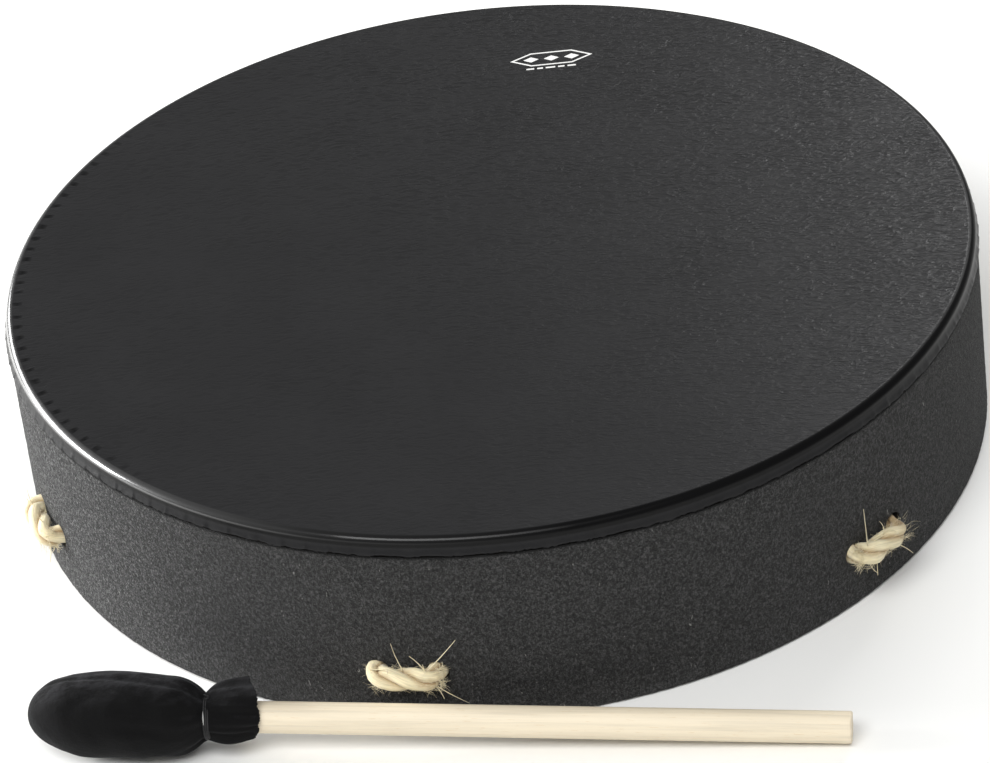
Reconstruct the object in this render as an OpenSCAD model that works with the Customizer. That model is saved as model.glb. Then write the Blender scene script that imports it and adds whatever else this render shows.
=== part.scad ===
// Frame drum with a laced rope handle at its open back, and its soft beater.
// The drum stands on its open rim: origin at the rim's centre, +Z towards the head.
// Azimuths are measured from the front (-Y) towards the right (+X).

/* [Drum] */
// Outside diameter over the fleece wrap
drum_d = 406.4; // [330:0.1:560]
// Height from the open rim to the playing surface
drum_h = 89.2; // [70:0.1:150]
// Wall thickness of the wood-fibre shell
shell_wall = 6.4; // [5:0.1:10]
// Thickness of the fleece wrap
wrap_t = 1.2; // [0.8:0.1:2.5]
// Thickness of the laminated head film
film_t = 0.9; // [0.5:0.1:1.5]
// Depth of the film's skirt below the playing surface
skirt_drop = 7.6; // [6:0.1:15]

/* [Handle] */
// Diameter of the three-strand rope
rope_d = 9.5; // [7:0.1:11]
// Clearance hole for the rope
rope_hole_d = 11; // [9:0.1:13]
// Height of the rope holes above the open rim
rope_z = 25; // [22:0.5:40]
// Distance between the two holes of a stitch
stitch_gap = 24; // [22:0.5:32]
// Outside diameter of the woven grip at the crossing
grip_d = 46; // [38:0.5:48]

/* [Beater] */
// Whole length of the beater
beater_l = 325; // [280:1:380]
// Diameter of the wooden dowel
dowel_d = 12.7; // [9:0.1:13]
// Largest diameter of the padded end
pad_d = 35.6; // [30:0.1:42]
// Distance from the tip to the tied neck
neck_s = 71; // [65:0.5:80]
// Length of the loose skirt below the neck
cover_skirt_l = 23; // [15:0.5:30]
// Thickness of the suede cover
cover_t = 1.5; // [1:0.1:2]

/* [Hidden] */
$fn = 96;

drum_r = drum_d / 2;
shell_r = drum_r - wrap_t;
shell_in_r = shell_r - shell_wall;
shell_h = drum_h - film_t;
bearing_r = 0.7;            // rounding of the bearing edge
bearing_bevel = 4;          // bevel on the inside of the bearing edge
rim_r = 1.5;                // rounding of the open rim
lip_flare = 1.0;            // how far the film's lip stands off the shell
wrap_gap = 0.7;             // gap between the lip and the wrap
wrap_rise = 0.6;            // the wrap stops this far above the floor

rope_r = rope_d / 2;
stitch_half = stitch_gap / 2 / drum_r * 180 / PI;  // half a stitch, in degrees
bend_r = rope_r + 0.25;     // bend of the rope's centre line over the wall
knot_r = 2 * rope_r;        // stopper knot inside the shell
rope_sides = 12;
spoke_end = 24;             // the spokes run level within this radius
// Each rope crosses the drum: [stitch azimuth, side its spoke lies on, level at the crossing]
LEFT = [-72, -1, 1];
FRONT = [-15, -1, 0];
RIGHT = [43, 1, -1];

dowel_r = dowel_d / 2;
pad_r = pad_d / 2;
neck_r = 9.2;               // gathered cover under the tie
tie_t = 1;                  // thread of the tie
tie_w = 3;                  // three turns of it
belly_s = 38;               // from the tip to the pad's thickest place
belly_z = pad_r + 0.05;     // the pad lies on the floor
dowel_end_z = dowel_r - 0.02;
beater_tip = [-203.4, -184.1];
beater_az = -10.5;          // heading of the dowel, from +X
beater_tilt = asin((belly_z - dowel_end_z) / (beater_l - belly_s));
slip = 0.05;                // gap between glued pieces
stick_start = 16;           // the dowel ends this far inside the padded end

function polar(r, az, z) = [r * sin(az), -r * cos(az), z];
function unit(v) = v / norm(v);

// Quarter arc of radius r about c, from angle a to angle b
function arc(c, r, a, b, n = 8) =
    [for (i = [0:n]) c + r * [cos(a + (b - a) * i / n), sin(a + (b - a) * i / n)]];

// ---- Drum ----

module shell_profile() {
    polygon(concat(
        arc([shell_r - rim_r, rim_r], rim_r, -90, 0),
        arc([shell_r - bearing_r, shell_h - bearing_r], bearing_r, 0, 90),
        [[shell_in_r + bearing_bevel, shell_h], [shell_in_r, shell_h - bearing_bevel]],
        arc([shell_in_r + rim_r, rim_r], rim_r, 180, 270)
    ));
}

// Both holes of every stitch, on both sides of the drum
module rope_holes(d) {
    for (rope = [LEFT, FRONT, RIGHT], turn = [0, 180], side = [-1, 1])
        rotate([0, 0, rope[0] + turn + side * stitch_half - 90])
            translate([shell_in_r - 5, 0, rope_z]) rotate([0, 90, 0]) cylinder(d = d, h = shell_wall + 20);
}

module shell() {
    color("#2b2a29") difference() {
        rotate_extrude($fn = 256) shell_profile();
        rope_holes(rope_hole_d);
    }
}

module head_film() {
    turn = bearing_r + film_t;
    lip_z = drum_h - skirt_drop;
    color("#333436") rotate_extrude($fn = 256) polygon(concat(
        [[0, shell_h]],
        arc([shell_r - bearing_r, shell_h - bearing_r], bearing_r, 90, 0),
        [[shell_r, lip_z + 2.4], [shell_r + lip_flare, lip_z]],
        [[shell_r + lip_flare + film_t, lip_z + 0.1], [shell_r + film_t, lip_z + 2.5]],
        arc([shell_r - bearing_r, shell_h - bearing_r], turn, 0, 90),
        [[0, drum_h]]
    ));
}

module fleece_wrap() {
    wrap_top = drum_h - skirt_drop - wrap_gap;
    color("#3a3a3b") difference() {
        rotate_extrude($fn = 256) translate([shell_r, wrap_rise]) square([wrap_t, wrap_top - wrap_rise]);
        rope_holes(rope_hole_d);
    }
}

// ---- Rope handle ----

// Half a rope: level from the centre, out through one hole, over the wall and back to its knot.
// Each entry is a point of the centre line and the radius there.
function rope_half(az, side, z_mid) =
    let (
        a = az + side * stitch_half,
        b = az - side * stitch_half,
        bend = [for (i = [0:5]) 90 - 18 * i],
        over = concat(
            [for (t = bend) bend_r * [1 - sin(t), cos(t)]],
            [for (i = [len(bend) - 1:-1:0]) [stitch_gap, 0] + bend_r * [sin(bend[i]) - 1, cos(bend[i])]]
        )
    )
    concat(
        [[polar(spoke_end, a, z_mid), rope_r], [polar(shell_in_r - 22, a, rope_z), rope_r],
         [polar(shell_in_r - 6, a, rope_z), rope_r]],
        [for (p = over)
            [polar(drum_r + p[1], a - side * p[0] / drum_r * 180 / PI, rope_z), rope_r]],
        [[polar(shell_in_r - 1, b, rope_z), rope_r]],
        [for (k = [-75:25:75])
            [polar(shell_in_r - 2 - knot_r * (1 + sin(k)), b, rope_z), max(rope_r, knot_r * cos(k))]],
        [[polar(shell_in_r - 14 - 2 * knot_r, b, rope_z), rope_r]]
    );

// A closed tube through points with a radius each; the points never run vertically
module tube(route) {
    n = len(route);
    rings = [for (i = [0:n - 1])
        let (
            t = unit(route[min(i + 1, n - 1)][0] - route[max(i - 1, 0)][0]),
            s = unit(cross([0, 0, 1], t)),
            u = cross(t, s)
        )
        for (k = [0:rope_sides - 1])
            route[i][0] + route[i][1] * (s * cos(k * 360 / rope_sides) + u * sin(k * 360 / rope_sides))];
    walls = [for (i = [0:n - 2], k = [0:rope_sides - 1])
        let (a = i * rope_sides + k, b = i * rope_sides + (k + 1) % rope_sides)
        each [[a, a + rope_sides, b], [b, a + rope_sides, b + rope_sides]]];
    ends = [[for (k = [0:rope_sides - 1]) k],
        [for (k = [rope_sides - 1:-1:0]) (n - 1) * rope_sides + k]];
    polyhedron(points = rings, faces = concat(walls, ends));
}

module handle_rope(rope) {
    z_mid = rope_z + rope[2] * (rope_d + 0.2);
    near = rope_half(rope[0], rope[1], z_mid);
    far = rope_half(rope[0] + 180, rope[1], z_mid);
    color("#e8dfbd") tube(concat([for (i = [len(near) - 1:-1:0]) near[i]], far));
}

module grip_binding() {
    r = grip_d / 2;
    half = 1.5 * rope_d + 2;
    round_r = 8;
    color("#e2d6ae") difference() {
        translate([0, 0, rope_z]) rotate_extrude() polygon(concat(
            [[0, -half]],
            arc([r - round_r, -half + round_r], round_r, -90, 0),
            arc([r - round_r, half - round_r], round_r, 0, 90),
            [[0, half]]
        ));
        for (rope = [LEFT, FRONT, RIGHT])
            translate([0, 0, rope_z + rope[2] * (rope_d + 0.2)])
                rotate([0, 0, rope[0] + rope[1] * stitch_half - 90])
                    rotate([0, 90, 0]) cylinder(r = rope_r + 0.1, h = 2 * grip_d, center = true);
    }
}

// ---- Beater: modelled from its tip along +Z, then laid on the floor ----

module lay_beater() {
    translate(beater_tip) rotate([0, 0, beater_az]) translate([belly_s, 0, belly_z])
        rotate([0, beater_tilt, 0]) translate([-belly_s, 0, 0]) rotate([0, 90, 0]) children();
}

// Radius of the padded end at distance s from the tip
tip_power = 2.7;            // a larger power gives a blunter tip
shoulder_power = 3.8;       // and a squarer shoulder before the neck
pad_back = (neck_s - belly_s) / pow(1 - pow(neck_r / pad_r, 2), 1 / shoulder_power);
function pad_at(s) = s < belly_s
    ? pad_r * sqrt(max(0, 1 - pow((belly_s - s) / belly_s, tip_power)))
    : pad_r * sqrt(1 - pow((s - belly_s) / pad_back, shoulder_power));
// Stations of the padded end, close together near the tip and near the neck
pad_steps = [for (i = [1:16]) belly_s * (1 - cos(90 * i / 16))];
back_steps = [for (i = [1:12]) belly_s + (neck_s - belly_s) * sin(90 * i / 12)];

// Outline of the padded end, shrunk by t all round, as far as distance s_max from the tip
function pad_outline(t, s_max) = concat(
    [[0, t]],
    [for (s = pad_steps) [pad_at(s) * (pad_r - t) / pad_r, t + s * (belly_s - t) / belly_s]],
    [for (s = back_steps) if (s <= s_max) [pad_at(s) - t, s]]
);
// The hollow in the cover closes in front of the tied neck, round the dowel
hollow_end = neck_s - 4;
function pad_hollow(t) = concat(
    pad_outline(t, hollow_end - 1),
    [[dowel_r + slip, hollow_end + cover_t - t]]
);

module beater_stick() {
    bevel = 1.2;
    color("#efdcb4") lay_beater() rotate_extrude() polygon([
        [0, stick_start], [dowel_r - bevel, stick_start], [dowel_r, stick_start + bevel],
        [dowel_r, beater_l - bevel], [dowel_r - bevel, beater_l], [0, beater_l]
    ]);
}

module beater_core() {
    color("#8d8a84") lay_beater() difference() {
        rotate_extrude() polygon(concat(pad_hollow(cover_t + slip), [[0, hollow_end - slip]]));
        translate([0, 0, stick_start - slip]) cylinder(r = dowel_r + slip, h = neck_s);
    }
}

module beater_cover() {
    skirt_r = 13.4;
    skirt_end = neck_s + cover_skirt_l;
    skirt_t = 1.4;
    hollow = pad_hollow(cover_t);
    color("#202021") lay_beater() rotate_extrude() polygon(concat(
        pad_outline(0, neck_s),
        [[neck_r, neck_s + 0.6 + tie_w], [neck_r + 3, neck_s + 7], [skirt_r - 0.6, neck_s + 14],
         [skirt_r, skirt_end], [skirt_r - skirt_t, skirt_end],
         [skirt_r - 0.6 - skirt_t, neck_s + 14], [neck_r + 0.8, neck_s + 8],
         [dowel_r + slip, neck_s + 4]],
        [for (i = [len(hollow) - 1:-1:0]) hollow[i]]
    ));
}

// Three turns of thread, side by side
module beater_tie() {
    color("#1a1a1c") lay_beater() rotate_extrude()
        translate([neck_r, neck_s + 0.3]) square([tie_t, tie_w]);
}

shell();
head_film();
fleece_wrap();
handle_rope(LEFT);  // handle_rope_left
handle_rope(FRONT);  // handle_rope_front
handle_rope(RIGHT);  // handle_rope_right
grip_binding();
beater_stick();
beater_core();
beater_cover();
beater_tie();
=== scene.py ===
"""Frame drum with a laced rope handle and a padded beater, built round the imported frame."""

import math
import random

import bpy
import numpy as np
from bpy.props import FloatProperty, FloatVectorProperty, IntProperty, PointerProperty, StringProperty
from mathutils import Matrix, Vector, noise


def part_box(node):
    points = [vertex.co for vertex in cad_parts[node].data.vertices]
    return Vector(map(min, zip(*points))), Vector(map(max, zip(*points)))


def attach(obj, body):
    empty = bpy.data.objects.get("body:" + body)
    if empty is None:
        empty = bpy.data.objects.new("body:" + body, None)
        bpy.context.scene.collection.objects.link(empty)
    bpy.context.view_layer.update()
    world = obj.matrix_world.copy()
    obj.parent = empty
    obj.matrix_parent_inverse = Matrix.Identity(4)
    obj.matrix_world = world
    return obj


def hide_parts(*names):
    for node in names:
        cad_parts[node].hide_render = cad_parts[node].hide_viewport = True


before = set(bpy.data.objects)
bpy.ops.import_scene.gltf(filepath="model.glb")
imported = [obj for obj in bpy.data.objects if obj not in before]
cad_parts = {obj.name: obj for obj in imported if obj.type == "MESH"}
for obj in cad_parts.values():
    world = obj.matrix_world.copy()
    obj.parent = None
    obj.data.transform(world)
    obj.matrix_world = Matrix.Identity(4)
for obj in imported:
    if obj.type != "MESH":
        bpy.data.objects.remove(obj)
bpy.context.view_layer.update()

bl_info = {
    "name": "Frame Drum and Beater",
    "version": (1, 0, 0),
    "blender": (4, 5, 0),
    "location": "3D View > Sidebar > Drum",
    "description": "Models a 16 inch frame drum, its rope handle and its padded beater",
    "category": "Object",
}

MM = 0.001


def reach(node):
    """The greatest distance of a CAD node from the drum's axis."""
    return max(math.hypot(v.co.x, v.co.y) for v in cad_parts[node].data.vertices)


# ---- Sizes and colours that a user would change ----


def length(name, description, default):
    """A property measured in metres."""
    return FloatProperty(name=name, description=description, default=default, unit="LENGTH")


class DrumSizes(bpy.types.PropertyGroup):
    radius: length("Drum radius", "Outside radius over the fleece wrap", reach("fleece_wrap"))
    shell_radius: length(
        "Shell radius", "Outside radius of the shell, under the wrap and the film", reach("shell"))
    top: length("Height", "Height of the playing surface above the open rim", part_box("head_film")[1].z)
    lip: length("Lip height", "Height of the film's trimmed edge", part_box("head_film")[0].z)
    film: length("Film thickness", "Thickness of the laminated head film", 0.9 * MM)
    tabs: IntProperty(
        name="Tabs", description="Number of overlapping tabs round the film's trimmed edge",
        default=128, min=40)
    wrap: length("Wrap thickness", "Thickness of the fleece wrap", 1.2 * MM)


class HandleSizes(bpy.types.PropertyGroup):
    rope: length("Rope diameter", "Diameter of the three-strand rope", 9.5 * MM)
    lay: length("Rope lay", "Length in which a strand goes once round the rope", 36 * MM)
    height: length("Hole height", "Height of the rope holes above the open rim", 25 * MM)
    gap: length("Stitch", "Distance between the two holes of a stitch", 24 * MM)


class BeaterSizes(bpy.types.PropertyGroup):
    tip: FloatVectorProperty(
        name="Tip", description="Where the padded tip lies on the floor plan",
        default=(-203.4 * MM, -184.1 * MM), size=2, subtype="XYZ", unit="LENGTH")
    heading: FloatProperty(
        name="Heading", description="Direction of the dowel on the floor plan, from +X",
        default=math.radians(-10.5), subtype="ANGLE")
    length: length("Length", "Whole length of the beater", 325 * MM)
    dowel: length("Dowel diameter", "Diameter of the wooden dowel", 12.7 * MM)
    pad: length("Pad diameter", "Largest diameter of the padded end", 35.6 * MM)
    neck: length("Neck", "Distance from the tip to the tied neck", 71 * MM)


class Finishes(bpy.types.PropertyGroup):
    film: StringProperty(name="Film", description="Head film, sRGB hex", default="222223")
    fleece: StringProperty(name="Fleece", description="Fleece wrap, sRGB hex", default="252525")
    shell: StringProperty(name="Shell", description="Shell, sRGB hex", default="2a2826")
    rope: StringProperty(name="Rope", description="Rope fibre, sRGB hex", default="f3e8c6")
    wood: StringProperty(name="Dowel", description="Dowel wood, sRGB hex", default="e9dcc3")
    suede: StringProperty(name="Suede", description="Beater cover, sRGB hex", default="0c0c0d")
    ink: StringProperty(name="Print", description="Printed mark, sRGB hex", default="e9e9e6")
    floor: StringProperty(name="Floor", description="Studio floor, sRGB hex", default="fafaf8")


def sizes():
    return bpy.context.scene.drum_sizes


def handle():
    return bpy.context.scene.handle_sizes


def beater():
    return bpy.context.scene.beater_sizes


def finishes():
    return bpy.context.scene.drum_finishes


# ---- Materials ----


def linear(hex_colour):
    """sRGB hex digits as linear red, green, blue and alpha."""
    parts = [int(hex_colour[i:i + 2], 16) / 255 for i in (0, 2, 4)]
    return [c / 12.92 if c <= 0.04045 else ((c + 0.055) / 1.055) ** 2.4 for c in parts] + [1.0]


def shade(hex_colour, factor):
    """The same colour, lighter or darker."""
    return [min(1.0, c * factor) for c in linear(hex_colour)[:3]] + [1.0]


def add(tree, kind, sockets=None, **settings):
    """Adds a node: settings are its own, and sockets are values or links by the input's name or number."""
    made = tree.nodes.new(kind)
    for key, value in settings.items():
        setattr(made, key, value)
    for key, value in (sockets or {}).items():
        if isinstance(value, bpy.types.NodeSocket):
            tree.links.new(value, made.inputs[key])
        else:
            made.inputs[key].default_value = value
    return made


def ramp(tree, value, stops):
    """A colour ramp: stops are places with a grey level or a colour."""
    made = add(tree, "ShaderNodeValToRGB", {"Fac": value})
    points = made.color_ramp.elements
    while len(points) < len(stops):
        points.new(0.5)
    for point, (place, colour) in zip(points, stops):
        point.position = place
        point.color = colour if hasattr(colour, "__len__") else [colour] * 3 + [1.0]
    return made.outputs["Color"]


def surface(name, roughness, ior=1.5, **sockets):
    """A new material with its shader set; returns the material, its tree and the shader."""
    material = bpy.data.materials.new(name)
    material.use_nodes = True
    tree = material.node_tree
    shader = tree.nodes["Principled BSDF"]
    shader.inputs["Roughness"].default_value = roughness
    shader.inputs["IOR"].default_value = ior
    for key, value in sockets.items():
        shader.inputs[key.replace("_", " ")].default_value = value
    return material, tree, shader


def place(tree, scale=(1, 1, 1), rotation=(0, 0, 0), location=(0, 0, 0)):
    """Object coordinates, turned, moved and scaled."""
    coords = add(tree, "ShaderNodeTexCoord")
    return add(tree, "ShaderNodeMapping", {
        "Vector": coords.outputs["Object"], "Scale": scale, "Rotation": rotation, "Location": location,
    }).outputs["Vector"]


def grain(tree, vector, size, detail=3.0, roughness=0.55, distortion=0.0):
    """Noise whose features are about size metres across."""
    return add(tree, "ShaderNodeTexNoise", {
        "Vector": vector, "Scale": 1 / size, "Detail": detail,
        "Roughness": roughness, "Distortion": distortion,
    }).outputs["Fac"]


def relief(tree, shader, height, depth, strength=1.0, before=None):
    """A bump of depth metres, on the shader or on top of another bump."""
    sockets = {"Height": height, "Distance": depth, "Strength": strength}
    if before is not None:
        sockets["Normal"] = before
    made = add(tree, "ShaderNodeBump", sockets)
    tree.links.new(made.outputs["Normal"], shader.inputs["Normal"])
    return made.outputs["Normal"]


def maths(tree, operation, a, b=0.0, clamp=False):
    return add(tree, "ShaderNodeMath", {0: a, 1: b}, operation=operation, use_clamp=clamp).outputs[0]


def times(tree, a, b):
    return maths(tree, "MULTIPLY", a, b)


def plus(tree, a, b, clamp=False):
    return maths(tree, "ADD", a, b, clamp)


def minus(tree, a, b, clamp=False):
    return maths(tree, "SUBTRACT", a, b, clamp)


def over(tree, a, b, clamp=False):
    return maths(tree, "DIVIDE", a, b, clamp)


def fade(tree, a, b, width):
    """Rises from 0 where a equals b to 1 where a is width above it."""
    return over(tree, minus(tree, a, b), width, clamp=True)


def all_but(tree, a):
    return minus(tree, 1.0, a)


def blend_colours(tree, factor, a, b):
    made = add(tree, "ShaderNodeMix", {0: factor, 6: a, 7: b}, data_type="RGBA")
    return made.outputs[2]


WRINKLE = 2.4 * MM
SHADED_PLEATS_PER_RADIAN = 23.0


def leather_grain_film():
    """Black polyester film, laminated and embossed: a satin face with short leather wrinkles about 2.4 mm
    apart, deepest at the back right, with painted shade in their hollows. Where it is stretched over the
    bearing edge it shines at the left, and a row of short pleats is marked there with painted shade. The
    bevel and upper skirt are painted darker as a painted dark reflection, and the lower skirt is painted
    greyer as painted sheen."""
    colour = finishes().film
    s = sizes()
    material, tree, shader = surface("laminated_film_embossed", 0.38, Coat_Roughness=0.12, Coat_IOR=2.0)
    spot = add(tree, "ShaderNodeSeparateXYZ", {0: place(tree)})
    x, y, level = (spot.outputs[k] for k in "XYZ")
    span = add(tree, "ShaderNodeVectorMath", {0: place(tree, scale=(1, 1, 0))},
               operation="LENGTH").outputs["Value"]
    edge = fade(tree, span, s.shell_radius - 2.2 * MM, 0.7 * MM)
    skirt = fade(tree, s.top - 1.9 * MM, level, 0.9 * MM)
    rolled = minus(tree, edge, skirt, clamp=True)
    sway = grain(tree, place(tree), 18 * MM, 2)
    bent = add(tree, "ShaderNodeVectorMath", {
        0: place(tree, scale=(0.3, 1, 1)),
        1: add(tree, "ShaderNodeCombineXYZ", {"Y": times(tree, sway, 6 * MM)}).outputs[0],
    }, operation="ADD").outputs[0]
    wrinkle = ramp(tree, grain(tree, bent, WRINKLE, 3, 0.55, 0.15), [(0.36, 0.0), (0.5, 1.0), (0.64, 0.2)])
    slope = over(tree, plus(tree, plus(tree, x, y), 0.1), 0.3, clamp=True)
    depth = plus(tree, times(tree, slope, 0.65), 0.35)
    uneven = ramp(tree, grain(tree, place(tree), 45 * MM, 2), [(0.3, 0.6), (0.6, 1.0)])
    patch = times(tree, depth, uneven)
    height = times(tree, times(tree, wrinkle, patch), all_but(tree, edge))
    first = relief(tree, shader, height, 0.18 * MM, 1.0)
    relief(tree, shader, grain(tree, place(tree, scale=(0.6, 1, 1)), 0.9 * MM, 3), 0.03 * MM, 0.8, first)
    cloud = grain(tree, place(tree), 35 * MM, 3)
    tone = blend_colours(tree, cloud, shade(colour, 0.88), shade(colour, 1.12))
    # painted shade: the wrinkle hollows are painted darker, most where the wrinkles are deepest
    hollow = times(tree, all_but(tree, wrinkle), times(tree, patch, 0.7))
    tone = blend_colours(tree, hollow, tone, shade(colour, 0.35))
    # pleats: short marks of painted shade square to the edge, from the front left round to the back left; they
    # also dull the shine
    turn = times(tree, maths(tree, "ARCTAN2", x, y), SHADED_PLEATS_PER_RADIAN)
    step = maths(tree, "FRACT", plus(tree, turn, times(tree, sway, 0.9)))
    pleat_shade = maths(tree, "GREATER_THAN", step, 0.7)
    off = maths(tree, "ABSOLUTE", minus(tree, span, s.shell_radius - 4.2 * MM))
    ring = minus(tree, 1.0, over(tree, off, 2.2 * MM), clamp=True)
    left = fade(tree, -0.14, x, 0.03)
    pleat_shade = times(tree, times(tree, pleat_shade, left), maths(tree, "POWER", ring, 0.5))
    tone = blend_colours(tree, times(tree, pleat_shade, 0.75), tone, shade(colour, 0.1))
    # painted dark reflection: the bevel and the skirt are painted darker
    tone = blend_colours(tree, edge, tone, shade(colour, 0.3))
    # painted sheen: the lower skirt is painted back up to a lighter grey
    lower = fade(tree, s.top - 3.8 * MM, level, 0.8 * MM)
    tree.links.new(blend_colours(tree, lower, tone, shade(colour, 0.95)), shader.inputs["Base Color"])
    tree.links.new(plus(tree, times(tree, cloud, 0.08), 0.31), shader.inputs["Roughness"])
    taut = plus(tree, times(tree, fade(tree, 0.02, x, 0.14), 0.3),
                times(tree, fade(tree, -0.08, x, 0.08), 0.7))
    bright = times(tree, rolled, taut)
    tree.links.new(bright, shader.inputs["Coat Weight"])
    shine = plus(tree, times(tree, slope, 0.06), 0.115)
    shine = times(tree, shine, all_but(tree, times(tree, pleat_shade, 0.5)))
    shine = times(tree, shine, all_but(tree, times(tree, rolled, 0.75)))
    tree.links.new(plus(tree, shine, times(tree, bright, 0.5)),
                   shader.inputs["Specular IOR Level"])
    return material


def needled_fleece():
    """Charcoal needle-felt: matt, with a clumped nap about 1.6 mm across, pale fibre ends painted stronger
    at the left as painted raking light, painted shade in its pits, a few strays, and a painted shadow
    along its upper edge, below the film's lip."""
    colour = finishes().fleece
    material, tree, shader = surface("needled_fleece", 0.95, 1.46, Sheen_Weight=0.12, Sheen_Roughness=0.6)
    shader.inputs["Specular IOR Level"].default_value = 0.2
    clump = grain(tree, place(tree), 1.6 * MM, 5, 0.75)
    fibre = grain(tree, place(tree, scale=(1, 1, 0.7)), 0.8 * MM, 3, 0.75, 1.0)
    tone = ramp(tree, clump, [
        (0.43, shade(colour, 0.2)), (0.5, shade(colour, 0.8)), (0.58, shade(colour, 2.2))])
    spot = add(tree, "ShaderNodeSeparateXYZ", {0: place(tree)})
    # pale fibre ends, painted stronger towards the left as painted raking light
    painted_left_light = fade(tree, -0.12, spot.outputs["X"], 0.07)
    speck = times(tree, ramp(tree, fibre, [(0.52, 0.0), (0.6, 1.0)]),
                  plus(tree, times(tree, painted_left_light, 0.65), 0.3))
    mixed = blend_colours(tree, speck, tone, shade(colour, 13.0))
    stray = grain(tree, place(tree, scale=(1, 1, 0.4)), 2.2 * MM, 1, 0.5, 2.0)
    stray = ramp(tree, stray, [(0.775, 0.0), (0.785, 1.0)])
    mixed = blend_colours(tree, stray, mixed, linear("9c9c98"))
    # painted shade: the pits of the nap are painted darker
    pit_shade = ramp(tree, fibre, [(0.4, 1.0), (0.48, 0.0)])
    mixed = blend_colours(tree, times(tree, pit_shade, 0.75), mixed, shade(colour, 0.12))
    # painted shadow: the top 1.6 mm, below the film's lip, is painted dark
    rim = fade(tree, spot.outputs["Z"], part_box("fleece_wrap")[1].z - 1.6 * MM, 0.7 * MM)
    tree.links.new(blend_colours(tree, rim, mixed, shade(colour, 0.15)), shader.inputs["Base Color"])
    first = relief(tree, shader, clump, 1.6 * MM, 1.0)
    relief(tree, shader, fibre, 0.9 * MM, 1.0, first)
    return material


def bonded_fibre_shell():
    """Resin-bonded wood fibre, rolled and sanded: near black, with short pressed fibres and a dull shine."""
    colour = finishes().shell
    material, tree, shader = surface("bonded_wood_fibre", 0.5)
    flakes = add(tree, "ShaderNodeTexVoronoi", {
        "Vector": place(tree, scale=(1, 1, 2.5)), "Scale": 1 / (3.5 * MM), "Randomness": 1.0})
    fine = grain(tree, place(tree, scale=(1, 1, 3)), 0.8 * MM, 4)
    tone = ramp(tree, flakes.outputs["Color"], [
        (0.0, shade(colour, 0.55)), (0.6, shade(colour, 1.1)), (1.0, shade(colour, 2.2))])
    tree.links.new(blend_colours(tree, fine, tone, shade(colour, 0.8)), shader.inputs["Base Color"])
    first = relief(tree, shader, flakes.outputs["Distance"], 0.08 * MM, 0.7)
    relief(tree, shader, fine, 0.06 * MM, 0.7, first)
    return material


def natural_fibre_rope():
    """Bleached natural fibre, twisted: cream, with fine fibres along each strand and painted brown shade in the
    hollows between strands.
    """
    colour = finishes().rope
    material, tree, shader = surface("twisted_natural_fibre", 0.8, 1.5, Sheen_Weight=0.2,
                                     Subsurface_Weight=0.12, Subsurface_Scale=1.2 * MM)
    shader.inputs["Subsurface Radius"].default_value = (1.0, 0.7, 0.4)
    lines = add(tree, "ShaderNodeUVMap", uv_map="along").outputs["UV"]
    # u runs along the strand in metres and v round it. Fibres are drawn about 0.45 mm apart, coarser
    # than life
    slant = add(tree, "ShaderNodeMapping", {
        "Vector": lines, "Scale": (90, 2200, 1), "Rotation": (0, 0, math.radians(8))}).outputs["Vector"]
    fibre = add(tree, "ShaderNodeTexNoise", {
        "Vector": slant, "Scale": 1.0, "Detail": 3.0, "Roughness": 0.6}).outputs["Fac"]
    patches = grain(tree, place(tree), 6 * MM, 3)
    hollow = add(tree, "ShaderNodeAttribute", attribute_name="hollow").outputs["Fac"]
    tone = ramp(tree, fibre, [
        (0.3, shade(colour, 0.72)), (0.5, shade(colour, 0.95)), (0.68, shade(colour, 1.12))])
    warm = blend_colours(tree, times(tree, patches, 0.45), tone, linear("d9c795"))
    # painted shade: points deep between the strands are painted brown
    dark = blend_colours(tree, times(tree, hollow, 0.8), warm, linear("9a7645"))
    tree.links.new(dark, shader.inputs["Base Color"])
    relief(tree, shader, fibre, 0.35 * MM, 1.0)
    return material


def sanded_hardwood():
    """Pale ramin or birch dowel, turned and sanded: straight grain, short dark pores, no finish."""
    colour = finishes().wood
    b = beater()
    material, tree, shader = surface("sanded_hardwood", 0.58)
    turned = place(tree, rotation=(0, -tilt(), -b.heading))
    grown = add(tree, "ShaderNodeMapping", {"Vector": turned, "Scale": (0.03, 1, 1)}).outputs["Vector"]
    bands = grain(tree, grown, 2.2 * MM, 4, 0.6, 0.4)
    pores = grain(tree, add(tree, "ShaderNodeMapping", {
        "Vector": turned, "Scale": (0.06, 1, 1)}).outputs["Vector"], 0.35 * MM, 2)
    tone = ramp(tree, bands, [(0.3, shade(colour, 0.86)), (0.5, linear(colour)), (0.7, shade(colour, 1.08))])
    pore = ramp(tree, pores, [(0.28, 1.0), (0.36, 0.0)])
    mixed = blend_colours(tree, times(tree, pore, 0.35), tone, linear("cda86b"))
    tree.links.new(mixed, shader.inputs["Base Color"])
    relief(tree, shader, pores, 0.06 * MM, 0.6)
    return material


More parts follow.
